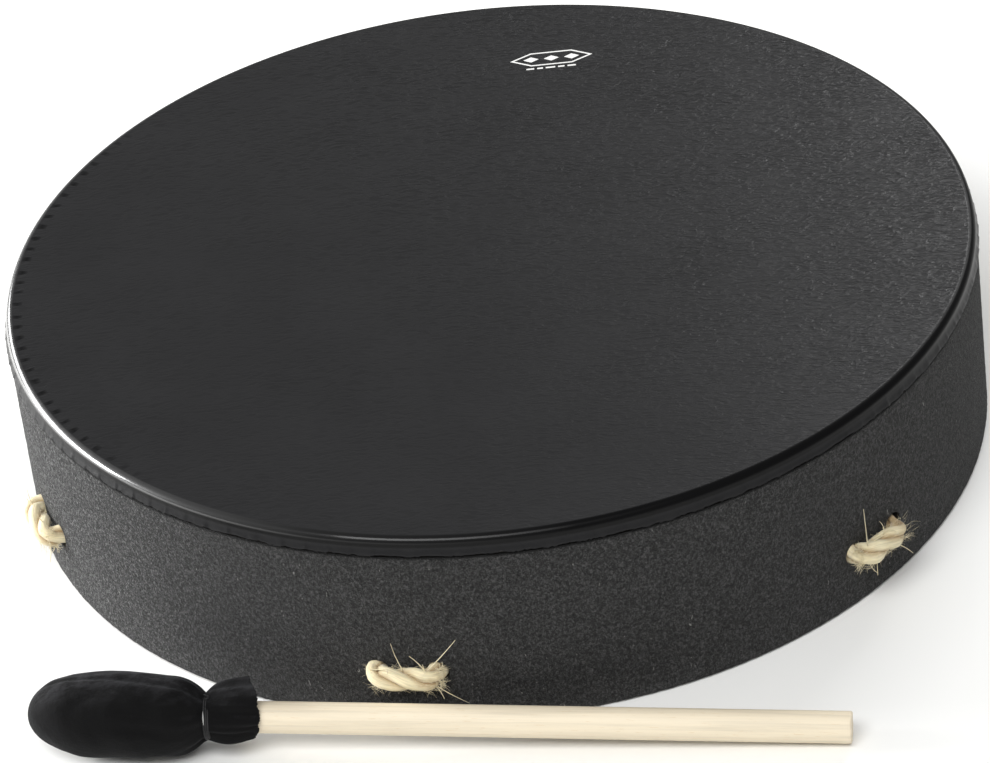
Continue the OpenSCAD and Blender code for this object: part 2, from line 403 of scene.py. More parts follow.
def brushed_suede():
    """Black suede, brushed: almost no shine, a short nap with pale worn blotches; as painted light, its
    upper and back sides are painted lighter and show the blotches, and the sides facing down and forward are
    painted dark."""
    colour = finishes().suede
    material, tree, shader = surface("brushed_suede", 0.95, 1.45, Sheen_Weight=0.1, Sheen_Roughness=0.45)
    shader.inputs["Specular IOR Level"].default_value = 0.25
    shader.inputs["Sheen Tint"].default_value = linear("8d9094")
    nap = grain(tree, place(tree), 0.9 * MM, 4, 0.7)
    stroke = grain(tree, place(tree, scale=(0.6, 1, 1)), 5 * MM, 5, 0.7)
    blotch = ramp(tree, stroke, [(0.45, 0.0), (0.58, 1.0)])
    tone = blend_colours(tree, blotch, shade(colour, 0.6), shade(colour, 7.0))
    speck = ramp(tree, nap, [(0.5, 0.0), (0.68, 1.0)])
    mixed = blend_colours(tree, times(tree, speck, 0.3), tone, shade(colour, 6.0))
    # painted light: faces turned up and back take the blotchy colour, faces turned down and forward a plain
    # darker one
    facing = add(tree, "ShaderNodeSeparateXYZ", {0: add(tree, "ShaderNodeNewGeometry").outputs["Normal"]})
    upper = plus(tree, times(tree, facing.outputs["Y"], 0.7),
                  times(tree, facing.outputs["Z"], 0.3))
    upper = plus(tree, upper, 0.3, clamp=True)
    tree.links.new(blend_colours(tree, upper, shade(colour, 0.45), mixed), shader.inputs["Base Color"])
    first = relief(tree, shader, stroke, 0.8 * MM, 0.7)
    relief(tree, shader, nap, 0.3 * MM, 1.0, first)
    return material


def pressed_felt():
    """Grey wool felt, pressed: matt, with faint curled fibres."""
    material, tree, shader = surface("pressed_wool_felt", 0.95)
    curl = grain(tree, place(tree), 0.9 * MM, 4, 0.7, 2.0)
    tone = ramp(tree, curl, [(0.3, linear("6f6c66")), (0.7, linear("a09c93"))])
    tree.links.new(tone, shader.inputs["Base Color"])
    relief(tree, shader, curl, 0.3 * MM, 0.8)
    return material


def waxed_thread():
    """Black polyester thread, twisted and waxed: small painted glints along its turns, and a short end painted
    pale as a painted glint.
    """
    material, tree, shader = surface("waxed_thread", 0.4)
    ply = add(tree, "ShaderNodeMapping", {
        "Vector": add(tree, "ShaderNodeUVMap", uv_map="along").outputs["UV"],
        "Rotation": (0, 0, math.radians(35))}).outputs["Vector"]
    twist = add(tree, "ShaderNodeTexWave", {
        "Vector": ply, "Scale": 1 / (1.2 * MM), "Distortion": 1.0, "Detail": 1.0}).outputs["Fac"]
    # painted glint: the short end is painted pale grey
    end = add(tree, "ShaderNodeAttribute", attribute_name="hollow").outputs["Fac"]
    black = ramp(tree, twist, [(0.0, linear("080809")), (1.0, linear("18181a"))])
    tree.links.new(blend_colours(tree, end, black, linear("a8a8a6")), shader.inputs["Base Color"])
    relief(tree, shader, twist, 0.12 * MM, 0.8)
    return material


def screen_ink():
    """White screen ink: an even matt film, slightly worn where the grain below stands up."""
    material, tree, shader = surface("screen_printed_ink", 0.6)
    worn = grain(tree, place(tree), 0.8 * MM, 3)
    tree.links.new(ramp(tree, worn, [(0.25, shade(finishes().ink, 0.7)), (0.45, linear(finishes().ink))]),
                   shader.inputs["Base Color"])
    relief(tree, shader, worn, 0.02 * MM, 0.5)
    return material


def matt_paper():
    """Plain pale studio paper."""
    material, tree, shader = surface("matt_studio_paper", 0.9)
    tone = grain(tree, place(tree), 0.4, 2)
    tree.links.new(blend_colours(tree, tone, shade(finishes().floor, 0.98), linear(finishes().floor)),
                   shader.inputs["Base Color"])
    return material


# ---- Modelling helpers ----


def mode(name):
    bpy.ops.object.mode_set(mode=name)


def apply_place():
    """Moves the selected objects' place, turn and scale into their meshes."""
    bpy.ops.object.transform_apply(location=True, rotation=True, scale=True)


def deselect():
    if bpy.context.object and bpy.context.object.mode != "OBJECT":
        mode("OBJECT")
    bpy.ops.object.select_all(action="DESELECT")


def activate(*objects):
    deselect()
    for obj in objects:
        obj.select_set(True)
    bpy.context.view_layer.objects.active = objects[0]


def select_only(obj, test, kind="VERT"):
    """Leaves edit mode with only the elements whose centre passes the test selected, then returns to it."""
    bpy.ops.mesh.select_all(action="DESELECT")
    bpy.ops.mesh.select_mode(type=kind)
    mode("OBJECT")
    mesh = obj.data
    if kind == "VERT":
        for v in mesh.vertices:
            v.select = test(v.co)
    elif kind == "EDGE":
        for e in mesh.edges:
            e.select = all(test(mesh.vertices[i].co) for i in e.vertices)
    else:
        for p in mesh.polygons:
            p.select = test(p.center)
    mode("EDIT")


def apply_modifier(obj, kind, **settings):
    """Adds a modifier, sets it and applies it."""
    activate(obj)
    modifier = obj.modifiers.new(kind.title(), kind)
    for key, value in settings.items():
        setattr(modifier, key, value)
    bpy.ops.object.modifier_apply(modifier=modifier.name)


def outwards(obj):
    """Turns all faces outwards."""
    activate(obj)
    mode("EDIT")
    bpy.ops.mesh.select_all(action="SELECT")
    bpy.ops.mesh.normals_make_consistent(inside=False)
    mode("OBJECT")


def smooth(obj, angle=40):
    activate(obj)
    bpy.ops.object.shade_smooth_by_angle(angle=math.radians(angle))


def finish_piece(obj, name, body, slot, material, *replaced):
    """Names the piece, gives it its material and ties it to the frame."""
    obj.name = name
    obj.data.name = name
    obj.data.materials.clear()
    obj.data.materials.append(material)
    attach(obj, body)
    if replaced:
        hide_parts(*replaced)


def points_of(obj):
    co = np.empty(len(obj.data.vertices) * 3)
    obj.data.vertices.foreach_get("co", co)
    return co.reshape(-1, 3)


def set_points(obj, co):
    obj.data.vertices.foreach_set("co", np.asarray(co, np.float32).ravel())
    obj.data.update()


def rings(outline, segments, name):
    """A surface of revolution about Z: a circle at the first station, then its edge extruded from one
    station (radius, height) to the next."""
    deselect()
    (r, z), rest = outline[0], outline[1:]
    bpy.ops.mesh.primitive_circle_add(vertices=segments, radius=r, fill_type="NOTHING", location=(0, 0, z))
    obj = bpy.context.object
    obj.name = name
    apply_place()
    mode("EDIT")
    bpy.ops.mesh.select_mode(type="EDGE")
    bpy.ops.mesh.select_all(action="SELECT")
    for r_next, z_next in rest:
        bpy.ops.mesh.extrude_edges_move(TRANSFORM_OT_translate={"value": (0, 0, z_next - z)})
        bpy.ops.transform.resize(value=(r_next / r, r_next / r, 1), center_override=(0, 0, z_next))
        r, z = r_next, z_next
    mode("OBJECT")
    return obj


def close_ring(obj, z, radius):
    """Fills the open ring of that height and radius with one face."""
    activate(obj)
    mode("EDIT")
    select_only(obj, lambda p: abs(p.z - z) < 1e-6 and abs(math.hypot(p.x, p.y) - radius) < 1e-5)
    bpy.ops.mesh.edge_face_add()
    mode("OBJECT")


def polar(radius, azimuth, z):
    """A point by azimuth in degrees from the front, towards the right."""
    a = math.radians(azimuth)
    return Vector((radius * math.sin(a), -radius * math.cos(a), z))


def resample(points, step):
    """Even points along a smooth curve through the given ones."""
    p = [points[0] * 2 - points[1]] + list(points) + [points[-1] * 2 - points[-2]]
    fine = []
    for i in range(1, len(p) - 2):
        span = (p[i + 1] - p[i]).length
        count = max(2, int(span / (0.25 * step)))
        for k in range(count):
            t = k / count
            fine.append(0.5 * (2 * p[i] + (p[i + 1] - p[i - 1]) * t
                               + (2 * p[i - 1] - 5 * p[i] + 4 * p[i + 1] - p[i + 2]) * t * t
                               + (3 * p[i] - p[i - 1] - 3 * p[i + 1] + p[i + 2]) * t ** 3))
    fine.append(p[-2])
    walked, out = 0.0, [fine[0]]
    for a, b in zip(fine, fine[1:]):
        walked += (b - a).length
        if walked >= step:
            out.append(b)
            walked = 0.0
    return out


def hump(x, middle, width):
    """A smooth bell: 1 at the middle, falling off over the width."""
    return math.exp(-((x - middle) / width) ** 2)


def clamped(x):
    return min(1.0, max(0.0, x))


def around(radius, angle, z):
    """A point by its angle in radians from +X."""
    return Vector((radius * math.cos(angle), radius * math.sin(angle), z))


def frames_along(points):
    """A side and an up direction at each point, carried along without twist."""
    tangents = [(points[min(i + 1, len(points) - 1)] - points[max(i - 1, 0)]).normalized()
                for i in range(len(points))]
    side = tangents[0].cross(Vector((0, 0, 1)))
    if side.length < 0.1:
        side = tangents[0].cross(Vector((1, 0, 0)))
    side.normalize()
    out = []
    for t in tangents:
        side = (side - t * side.dot(t)).normalized()
        out.append((side, t.cross(side)))
    return out


class Tubes:
    """Gathers swept tubes into one mesh, with a UV map that runs along them in metres."""

    def __init__(self):
        self.points, self.faces, self.uvs, self.hollow = [], [], [], []

    def sweep(self, line, radii, sides, hollow=0.0):
        first = len(self.points)
        walked, run = 0.0, []
        for i, (p, (side, up)) in enumerate(zip(line, frames_along(line))):
            if i:
                walked += (p - line[i - 1]).length
            run.append(walked)
            r = radii[i] if hasattr(radii, "__len__") else radii
            for k in range(sides):
                a = 2 * math.pi * k / sides
                self.points.append(p + side * (r * math.cos(a)) + up * (r * math.sin(a)))
                self.hollow.append(hollow)
        girth = 2 * math.pi * (radii[len(line) // 2] if hasattr(radii, "__len__") else radii)
        for i in range(len(line) - 1):
            for k in range(sides):
                n = (k + 1) % sides
                a, b = first + i * sides, first + (i + 1) * sides
                self.faces.append((a + k, a + n, b + n, b + k))
                v0, v1 = girth * k / sides, girth * (k + 1) / sides
                self.uvs += [(run[i], v0), (run[i], v1), (run[i + 1], v1), (run[i + 1], v0)]
        last = first + (len(line) - 1) * sides
        self.faces.append(tuple(first + k for k in reversed(range(sides))))
        self.faces.append(tuple(last + k for k in range(sides)))
        self.uvs += [(0, 0)] * (2 * sides)

    def build(self, name):
        mesh = bpy.data.meshes.new(name)
        mesh.from_pydata([tuple(p) for p in self.points], [], self.faces)
        mesh.update()
        layer = mesh.uv_layers.new(name="along")
        layer.data.foreach_set("uv", np.array(self.uvs, np.float32).ravel())
        # painted light: shade on the rope, a glint on the thread's end
        mark = mesh.attributes.new("hollow", "FLOAT", "POINT")
        mark.data.foreach_set("value", np.array(self.hollow, np.float32))
        obj = bpy.data.objects.new(name, mesh)
        bpy.context.scene.collection.objects.link(obj)
        mesh.polygons.foreach_set("use_smooth", [True] * len(mesh.polygons))
        return obj


# ---- Drum ----


def tab_wave(angle, draw):
    """Where an angle falls in its tab, from 0 to 1, and that tab's own random numbers."""
    count = sizes().tabs
    turn = (angle / (2 * math.pi)) % 1.0
    turn += 0.0016 * math.sin(7 * angle + 1.0) + 0.0011 * math.sin(17 * angle)
    place_in = (turn * count) % 1.0
    return place_in, draw[int(turn * count) % count]


class DRUM_OT_head_film(bpy.types.Operator):
    """Head film: a flat face turned down over the bearing edge and trimmed in small overlapping tabs"""
    bl_idname = "drum.head_film"
    bl_label = "Head film"

    def execute(self, context):
        s = sizes()
        skirt = s.shell_radius + s.film
        outline = [(r * MM, s.top) for r in (90, 150, 185, 194, 196, 197, 198, 198.8, 199.4)]
        outline += [(skirt - f * MM, s.top - h * MM) for f, h in (
            (2.7, 0.01), (2.4, 0.04), (2.08, 0.11), (1.77, 0.22), (1.47, 0.37), (1.19, 0.55), (0.93, 0.76),
            (0.7, 1.0), (0.49, 1.27), (0.32, 1.56), (0.18, 1.88), (0.08, 2.22), (0.02, 2.57), (0.0, 2.9))]
        outline += [(skirt, s.top - h * MM) for h in (3.4, 3.9)]
        drop = s.top - s.lip
        outline += [(skirt + f * MM, s.top - drop + h * MM) for f, h in (
            (0.08, 3.1), (0.25, 2.4), (0.5, 1.7), (0.78, 1.0), (0.95, 0.5), (1.05, 0.0))]
        head = rings(outline, 12 * s.tabs, "head_film_skin")
        close_ring(head, s.top, 90 * MM)
        self.pleat(head, skirt)
        outwards(head)
        apply_modifier(head, "SOLIDIFY", thickness=0.85 * s.film, offset=-1.0)
        smooth(head, 50)
        finish_piece(head, "head_film_skin", "drum", "head_film", leather_grain_film(), "head_film")
        return {"FINISHED"}

    def pleat(self, head, skirt):
        """Moves the skirt's points into overlapping tabs, and dimples the edge where each pleat starts."""
        s = sizes()
        rng = random.Random(4)
        draw = [[rng.random() for _ in range(4)] for _ in range(s.tabs)]
        co = points_of(head)
        for i, (x, y, z) in enumerate(co):
            r = math.hypot(x, y)
            if r < 194.5 * MM:
                continue
            angle = math.atan2(x, -y)
            where, (lift, drop, width, _) = tab_wave(angle, draw)
            low = clamped((s.top - 2.2 * MM - z) / (5.2 * MM))
            notch = hump(where, 0.5, 0.14)
            inner = hump(r, s.shell_radius - 3.4 * MM, 1.5 * MM)
            leftward = 0.1 + hump(math.degrees(angle), -92, 38)
            z -= (0.08 + 0.16 * width) * MM * notch * inner * leftward
            saw = where - 0.5
            out = low ** 1.5 * (0.15 + 0.5 * lift) * saw * 0.8 * MM
            ragged = (noise.noise(Vector((x, y, 3.0)) * 900) * 0.7 * MM
                      + noise.noise(Vector((x, y, 9.0)) * 90) * 0.6 * MM)
            sag = (0.3 + drop) * 0.4 * MM * math.sin(math.pi * where) ** 0.7
            z += low ** 2 * (-sag + 0.4 * MM + ragged)
            scale = (r + out) / r
            co[i] = (x * scale, y * scale, z)
        set_points(head, co)


class DRUM_OT_head_mark(bpy.types.Operator):
    """Printed mark: a long six-sided outline round three lozenges, over a row of short dashes"""
    bl_idname = "drum.head_mark"
    bl_label = "Printed mark"

    def execute(self, context):
        s = sizes()
        parts = [self.outline()]
        for x in (-9, 0, 9):
            deselect()
            bpy.ops.mesh.primitive_circle_add(vertices=4, radius=1, fill_type="NGON", location=(x * MM, 0, 0))
            parts.append(bpy.context.object)
            bpy.ops.transform.resize(value=(3.4 * MM, 2.2 * MM, 1))
        for x, length in ((-9.5, 3.4), (-5.2, 2.6), (-0.6, 4.2), (4.2, 2.8), (8.8, 3.6)):
            deselect()
            bpy.ops.mesh.primitive_plane_add(size=1, location=(x * MM, -7.9 * MM, 0))
            parts.append(bpy.context.object)
            bpy.ops.transform.resize(value=(length * MM, 1.1 * MM, 1))
        activate(*parts)
        apply_place()
        bpy.ops.object.join()
        mark = bpy.context.object
        mark.location = (39 * MM, 149.5 * MM, s.top + 0.01 * MM)
        mark.rotation_euler = (0, 0, math.radians(-3))
        apply_place()
        apply_modifier(mark, "SOLIDIFY", thickness=0.03 * MM, offset=1.0)
        finish_piece(mark, "head_mark", "drum", "head_film", screen_ink())
        return {"FINISHED"}

    def outline(self):
        deselect()
        bpy.ops.mesh.primitive_circle_add(
            vertices=6, radius=1, fill_type="NGON", rotation=(0, 0, math.radians(90)))
        obj = bpy.context.object
        apply_place()
        bpy.ops.transform.resize(value=(18.2 * MM, 6.4 * MM, 1))
        apply_place()
        mode("EDIT")
        bpy.ops.mesh.select_mode(type="FACE")
        bpy.ops.mesh.select_all(action="SELECT")
        bpy.ops.mesh.inset(thickness=0.85 * MM)
        bpy.ops.mesh.delete(type="FACE")
        mode("OBJECT")
        return obj


class DRUM_OT_fleece(bpy.types.Operator):
    """Fleece wrap: a band of needle-felt round the shell, pierced where the rope goes through"""
    bl_idname = "drum.fleece"
    bl_label = "Fleece wrap"

    def execute(self, context):
        s = sizes()
        low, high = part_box("fleece_wrap")[0].z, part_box("fleece_wrap")[1].z
        rows = 40
        outline = [(s.radius - 0.35 * MM, low)]
        outline += [(s.radius, low + 0.5 * MM + (high - low - 1.6 * MM) * i / rows) for i in range(rows + 1)]
        outline += [(s.radius - 0.45 * MM, high - 0.5 * MM)]
        wrap = rings(outline, 760, "fleece_band")
        outwards(wrap)
        nap = bpy.data.textures.new("fleece_nap", "CLOUDS")
        nap.noise_scale = 2.4 * MM
        nap.noise_depth = 2
        apply_modifier(wrap, "DISPLACE", texture=nap, texture_coords="LOCAL", strength=0.45 * MM,
                       mid_level=0.6)
        apply_modifier(wrap, "SOLIDIFY", thickness=s.wrap - 0.2 * MM, offset=-1.0)
        cutters = rope_hole_cutters()
        apply_modifier(wrap, "BOOLEAN", object=cutters, operation="DIFFERENCE", solver="EXACT")
        bpy.data.objects.remove(cutters)
        smooth(wrap, 60)
        finish_piece(wrap, "fleece_band", "drum", "fleece", needled_fleece(), "fleece_wrap")
        return {"FINISHED"}


def rope_hole_cutters():
    """One object of twelve short cylinders, where the rope goes through the wrap."""
    s, h = sizes(), handle()
    cutters = []
    for azimuth, _, _ in ROPES:
        for turn in (0, 180):
            for side in (-1, 1):
                a = azimuth + turn + side * stitch_half()
                deselect()
                bpy.ops.mesh.primitive_cylinder_add(
                    vertices=28, radius=h.rope / 2 + 0.2 * MM, depth=20 * MM,
                    location=polar(s.radius, a, h.height), rotation=(math.radians(90), 0, math.radians(a)))
                cutters.append(bpy.context.object)
    activate(*cutters)
    apply_place()
    bpy.ops.object.join()
    return bpy.context.object


# ---- Rope handle ----

# Each rope crosses the drum: azimuth of its first stitch, side its spoke lies on, level at the crossing
ROPES = [(-72, -1, 1), (-15, -1, 0), (43, 1, -1)]
STRAND_SIDES = 12
WALL = 6.4 * MM
GRIP_CORD, GRIP_LAY = 4.6 * MM, 15 * MM
ROPE_NODES = ["handle_rope_left", "handle_rope_front", "handle_rope_right"]


def stitch_half():
    """Half a stitch as an angle in degrees."""
    return math.degrees(handle().gap / 2 / sizes().radius)


def rope_half(azimuth, side, middle_z):
    """Half a rope, from near the centre out through one hole, over the wall and back to its knot."""
    s, h = sizes(), handle()
    inner = s.shell_radius - WALL
    out, back = azimuth + side * stitch_half(), azimuth - side * stitch_half()
    bend = h.rope / 2 + 0.25 * MM
    per_metre = math.degrees(1 / s.radius)
    route = [polar(24 * MM, out, middle_z), polar(60 * MM, out, middle_z + (h.height - middle_z) * 0.24),
             polar(120 * MM, out, middle_z + (h.height - middle_z) * 0.64),
             polar(inner - 22 * MM, out, h.height), polar(inner - 6 * MM, out, h.height)]
    turns = [math.radians(t) for t in range(90, -1, -18)]
    outside = [(bend * (1 - math.sin(t)), bend * math.cos(t)) for t in turns]
    outside += [(h.gap - x, y) for x, y in reversed(outside)]
    route += [polar(s.radius + y, out - side * x * per_metre, h.height) for x, y in outside]
    route.append(polar(inner + 3 * MM, back, h.height))
    return route + overhand_knot(back, side, inner)


def overhand_knot(azimuth, side, inner):
    """Points of an overhand knot in the rope's end, just inside the shell: a trefoil with one lobe opened,
    lying beside the hole, away from the spoke."""
    h = handle()
    unit = 0.45 * h.rope
    inwards = -polar(1, azimuth, 0)
    aside = polar(1, azimuth - side * 90, 0)
    start = polar(inner - 4.4 * unit, azimuth, h.height)
    loop = [(3.6, -2.6, 0.0)]
    for i in range(15):
        t = math.pi + 0.55 + (2 * math.pi - 1.1) * i / 14
        loop.append((math.sin(t) + 2 * math.sin(2 * t), math.cos(t) - 2 * math.cos(2 * t),
                     -math.sin(3 * t)))
    loop += [(-3.6, -2.6, 0.0), (-5.2, -2.6, -0.3)]
    return [start - inwards * (x * unit) + aside * ((y + 2.6) * unit) + Vector((0, 0, z * unit))
            for x, y, z in loop]


def twist_rope(tubes, line, seed, lay=None, radius=None, pinched=(), pinch=0.1):
    """Three strands laid round a line, each a little uneven, drawn thinner by pinch at the pinched places."""
    h = handle()
    lay, radius = lay or h.lay, radius or h.rope / 2
    offset, strand = radius * 0.5, radius * 0.53
    marks = frames_along(line)
    walked = [0.0]
    for a, b in zip(line, line[1:]):
        walked.append(walked[-1] + (b - a).length)
    for k in range(3):
        path, radii = [], []
        for i, p in enumerate(line):
            a = 2 * math.pi * (walked[i] / lay + k / 3)
            side, up = marks[i]
            uneven = noise.noise(Vector((walked[i] * 160, seed * 7.0 + k * 3.0, 0)))
            thin = 1 - sum(pinch * hump((p - q).length, 0, 6.5 * MM) for q in pinched)
            path.append(p + (side * math.cos(a) + up * math.sin(a)) * offset * thin * (1 + 0.1 * uneven))
            radii.append(strand * thin * (1 + 0.13 * uneven))
        radii[0] *= 0.75
        radii[-1] *= 0.75
        first = len(tubes.points)
        tubes.sweep(path, radii, STRAND_SIDES)
        # painted shade mask: how deep each point lies between the strands
        for i, p in enumerate(line):
            for n in range(first + STRAND_SIDES * i, first + STRAND_SIDES * (i + 1)):
                tubes.hollow[n] = clamped((0.95 - (tubes.points[n] - p).length / radius) / 0.35)


def stray_fibre(tubes, start, direction, length, curl, rng, thick=0.16 * MM, steps=9):
    """One fine fibre that springs from the rope and bends as it goes."""
    p, d = start.copy(), direction.normalized()
    bend = Vector((rng.uniform(-1, 1), rng.uniform(-1, 1), rng.uniform(-1, 1))).normalized() * curl
    line = []
    for i in range(steps + 1):
        line.append(p.copy())
        p += d * (length / steps)
        d = (d + bend * (1 / steps)).normalized()
    tubes.sweep(line, [thick * (1 - 0.6 * i / steps) for i in range(steps + 1)], 4, 0.1)


class DRUM_OT_ropes(bpy.types.Operator):
    """Handle ropes: three-strand rope across the open back, stitched through the shell and knotted inside"""
    bl_idname = "drum.ropes"
    bl_label = "Handle ropes"

    def execute(self, context):
        material = natural_fibre_rope()
        s, h = sizes(), handle()
        for (azimuth, side, level), node in zip(ROPES, ROPE_NODES):
            tubes = Tubes()
            middle = h.height + level * (h.rope + 0.2 * MM)
            near = rope_half(azimuth, side, middle)
            far = rope_half(azimuth + 180, side, middle)
            line = resample(list(reversed(near)) + far, 1.3 * MM)
            tapered = [polar(s.radius + 1 * MM, azimuth + turn + stitch_half(), h.height)
                       for turn in (0, 180)]
            twist_rope(tubes, line, level + 2, pinched=tapered, pinch=0.36 if side > 0 else 0.1)
            for place_at in (azimuth, azimuth + 180):
                self.fray(tubes, place_at, side)
            rope = tubes.build(node + "_laid")
            finish_piece(rope, node + "_laid", "drum", "rope", material, node)
        return {"FINISHED"}

    def fray(self, tubes, azimuth, side):
        """Fibres round one stitch: a fuzz all along it, a tuft where it goes back in, and a few long ones."""
        s, h = sizes(), handle()
        rng = random.Random(int(azimuth) * 11 + 5)
        r = s.radius + h.rope / 2
        half = stitch_half()
        out = polar(1, azimuth, 0)
        along = polar(1, azimuth + 90, 0)
        for _ in range(260):
            t = rng.uniform(-1.15, 1.15)
            a = rng.uniform(-0.7 * math.pi, 0.7 * math.pi)
            ring = out * math.cos(a) + Vector((0, 0, math.sin(a)))
            start = polar(r, azimuth + t * half, h.height) + ring * (h.rope * rng.uniform(0.4, 0.47))
            heading = (ring * rng.uniform(0.05, 0.5) + along * rng.choice((-1, 1))
                       + Vector((0, 0, rng.uniform(-0.5, 0.5))))
            stray_fibre(tubes, start, heading, rng.uniform(1.5, 5.0) * MM, rng.uniform(0.4, 1.8), rng,
                        rng.uniform(0.04, 0.08) * MM, 5)
        blunt = azimuth - side * half
        for _ in range(90):
            a = rng.uniform(0, 2 * math.pi)
            ring = out * (0.5 + 0.5 * math.cos(a)) + Vector((0, 0, 0.15 + 0.95 * math.sin(a)))
            start = (polar(s.radius + 2 * MM, blunt, h.height) + ring * (h.rope * 0.4)
                     - along * (side * rng.uniform(0, 2.5) * MM))
            heading = ring * rng.uniform(0.1, 0.7) - along * (side * rng.uniform(0.3, 1.3))
            stray_fibre(tubes, start, heading, rng.uniform(2.0, 5.0) * MM, rng.uniform(1.5, 4.0), rng,
                        0.11 * MM, 7)
        for t, rise, lean, length, curl in LONG_FIBRES.get(azimuth, LONG_FIBRES[None]):
            start = polar(r, azimuth + t * half, h.height + math.copysign(h.rope * 0.38, rise))
            heading = Vector((0, 0, rise)) + along * lean + out * 0.3
            stray_fibre(tubes, start, heading, length * MM, curl, rng, 0.26 * MM)


# Long fibres of a stitch by its azimuth: place along it, rise, lean to the right, length in mm and curl
LONG_FIBRES = {
    -15: [(0.0, 1.0, -0.2, 19, 0.2), (0.72, 1.0, -0.3, 12, 0.3), (0.7, 0.8, 0.0, 8, 0.4),
          (0.72, 1.0, 0.8, 26, 0.1), (1.05, -0.7, 1.3, 14, 0.5), (1.0, -0.8, 0.8, 6, 0.9),
          (-1.1, 0.45, 1.3, 14, 1.6), (-0.9, 0.6, 1.1, 15, 1.8), (0.2, -0.5, -1.0, 5, 0.8),
          (0.3, -0.5, 1.0, 5, 0.8)],
    43: [(-0.78, 1.0, -0.35, 34, 0.15), (-0.95, 0.7, -1.2, 4, 0.5), (-0.75, -1.0, -0.1, 9, 2.6),
         (-0.6, -1.0, 0.0, 9, 2.2), (-0.4, -1.0, -0.35, 8, 2.4), (0.45, -0.6, 0.8, 12, 0.4),
         (-0.6, 0.6, 0.8, 8, 2.2), (-0.2, 0.6, 0.9, 8, 2.0), (0.1, 0.8, 0.5, 7, 2.5)],
    None: [(-0.6, 1.0, -0.5, 9, 0.8), (0.4, 1.0, 0.5, 12, 0.6), (0.9, -1.0, 0.6, 8, 0.7),
           (-0.9, -0.8, -0.8, 7, 0.9)],
}


class DRUM_OT_grip(bpy.types.Operator):
    """Grip binding: cord woven over and under the spokes where the ropes cross"""
    bl_idname = "drum.grip"
    bl_label = "Grip binding"

    def execute(self, context):
        low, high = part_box("grip_binding")
        radius = (high.x - low.x) / 2
        tubes = Tubes()
        levels = 6
        for k in range(levels):
            share = k / (levels - 1)
            z = low.z + GRIP_CORD / 2 + (high.z - low.z - GRIP_CORD) * share
            bulge = radius - GRIP_CORD / 2 - 4.5 * MM * abs(2 * share - 1) ** 2
            ring = []
            for i in range(133):
                a = 2 * math.pi * i / 132
                weave = math.sin(3 * a + (math.pi if k % 2 else 0))
                ring.append(around(bulge, a, z + 0.7 * MM * weave))
            twist_rope(tubes, ring, k, lay=GRIP_LAY, radius=GRIP_CORD / 2)
        for k in range(4):
            r = radius - GRIP_CORD * (1.35 + 0.85 * k)
            if r <= 2.4 * MM:
                continue
            for z in (low.z + GRIP_CORD * 0.55, high.z - GRIP_CORD * 0.55):
                ring = [around(r, 2 * math.pi * i / 80, z) for i in range(81)]
                twist_rope(tubes, ring, k + 9, lay=GRIP_LAY, radius=GRIP_CORD / 2)
        grip = tubes.build("grip_woven")
        finish_piece(grip, "grip_woven", "drum", "grip_cord", natural_fibre_rope(), "grip_binding")
        return {"FINISHED"}


class DRUM_OT_shell(bpy.types.Operator):
    """Shell and padding: finishes of the pieces that the frame already holds"""
    bl_idname = "drum.shell"
    bl_label = "Shell and core finishes"

    def execute(self, context):
        for node, material in (("shell", bonded_fibre_shell()), ("beater_core", pressed_felt())):
            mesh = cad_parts[node].data
            mesh.materials.clear()
            mesh.materials.append(material)
        return {"FINISHED"}


# ---- Beater: modelled from its tip along +Z, then laid on the floor ----


# Along the beater from its tip: where the pad is widest and where its folds begin
BELLY, FOLD_START = 38 * MM, 52 * MM
# Radii at the neck: of the pad, the skirt and the coiled thread, and that of the thread itself
NECK_RADIUS, SKIRT_RADIUS, COIL_RADIUS, THREAD_RADIUS = 9.2 * MM, 8.9 * MM, 9.15 * MM, 0.42 * MM
COIL_PITCH = 0.8 * MM


def tilt():
    """How far the dowel slopes from the pad down to its end."""
    b = beater()
    return math.asin((b.pad / 2 + 0.05 * MM - b.dowel / 2 + 0.02 * MM) / (b.length - BELLY))


def lay_down(obj):
    """Turns a piece modelled along +Z into its place on the floor."""
    b = beater()
    move = (Matrix.Translation((*b.tip, 0)) @ Matrix.Rotation(b.heading, 4, "Z")
            @ Matrix.Translation((BELLY, 0, b.pad / 2 + 0.05 * MM)) @ Matrix.Rotation(tilt(), 4, "Y")
            @ Matrix.Translation((-BELLY, 0, 0)) @ Matrix.Rotation(math.radians(90), 4, "Y"))
    activate(obj)
    obj.matrix_world = move @ obj.matrix_world
    apply_place()


def pad_radius(s):
    """Radius of the padded end at distance s from its tip."""
    b = beater()
    full = b.pad / 2
    if s < BELLY:
        return full * math.sqrt(max(0.0, 1 - ((BELLY - s) / BELLY) ** 2.7))
    back = (b.neck - BELLY) / (1 - (NECK_RADIUS / full) ** 2) ** (1 / 3.8)
    return full * math.sqrt(max(0.0, 1 - ((s - BELLY) / back) ** 3.8))


